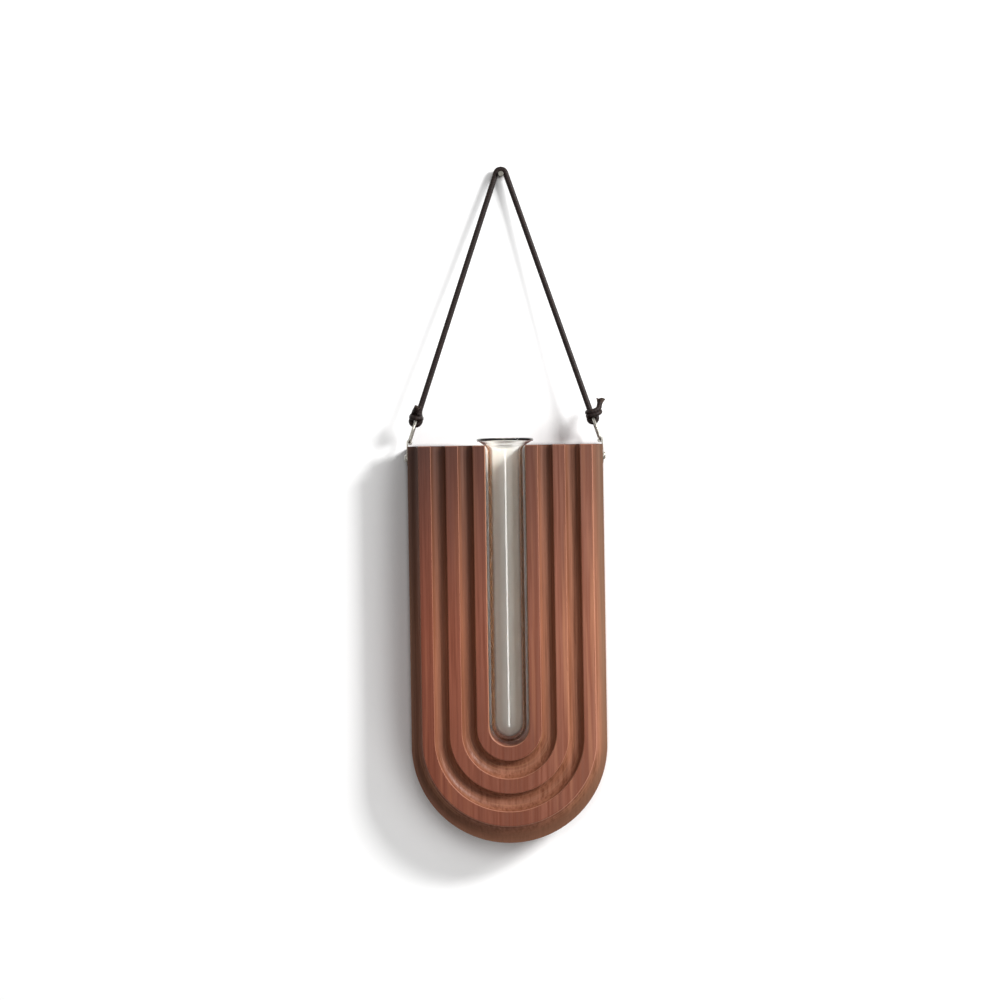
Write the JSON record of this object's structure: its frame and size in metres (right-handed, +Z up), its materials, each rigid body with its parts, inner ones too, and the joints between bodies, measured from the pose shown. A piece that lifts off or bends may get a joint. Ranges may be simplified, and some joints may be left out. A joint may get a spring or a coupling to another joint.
{
  "type": "hanging wall vase",
  "caption": "Wall vase: a grooved wooden block with a U-shaped slot that holds a glass test tube, hung from a nail by a cord between D-rings on its sides.",
  "frame": {"origin": "on the nail's axis, at the wall's face", "axes": "+Z up, -Y out of the wall towards the viewer, +X to the viewer's right; the wall's face is the plane Y = 0"},
  "size_m": [0.1036, 0.05, 0.3488],
  "materials": {
    "stained_wood": "reddish brown stain, matt, with vertical grain",
    "clear_glass": "clear, smooth, fire polished rim",
    "plated_steel": "nickel plated, lightly brushed",
    "nail_steel": "bright drawn wire",
    "dark_cord": "dark brown waxed cotton cord"
  },
  "bodies": {
    "nail": {"wall_nail": "nail_steel"},
    "vase": {"wood_board": "stained_wood", "hanger_strap_left": "plated_steel", "hanger_strap_right": "plated_steel", "hanger_screw_left": "plated_steel", "hanger_screw_right": "plated_steel", "hanging_cord": "dark_cord"},
    "tube": {"glass_tube": "clear_glass"},
    "ring_left": {"d_ring_left": "plated_steel", "cord_knot_left": "dark_cord"},
    "ring_right": {"d_ring_right": "plated_steel", "cord_knot_right": "dark_cord"}
  },
  "joints": [
    {"name": "swing", "type": "hinge", "parent": "nail", "child": "vase", "pos_m": [0, 0, 0], "axis": [0, 1, 0], "range_deg": [-20, 20]},
    {"name": "tube_lift_out", "type": "slide", "parent": "vase", "child": "tube", "axis": [0, -0.7071, 0.7071], "range_m": [0, 0.06]},
    {"name": "ring_left_pivot", "type": "hinge", "parent": "vase", "child": "ring_left", "pos_m": [-0.04924, -0.015, -0.139], "axis": [0, 1, 0], "range_deg": [-8, 8], "stiffness_Nm_per_rad": 0.02, "deforming": ["hanging_cord"]},
    {"name": "ring_right_pivot", "type": "hinge", "parent": "vase", "child": "ring_right", "pos_m": [0.04924, -0.015, -0.139], "axis": [0, 1, 0], "range_deg": [-8, 8], "stiffness_Nm_per_rad": 0.02, "deforming": ["hanging_cord"]}
  ]
}
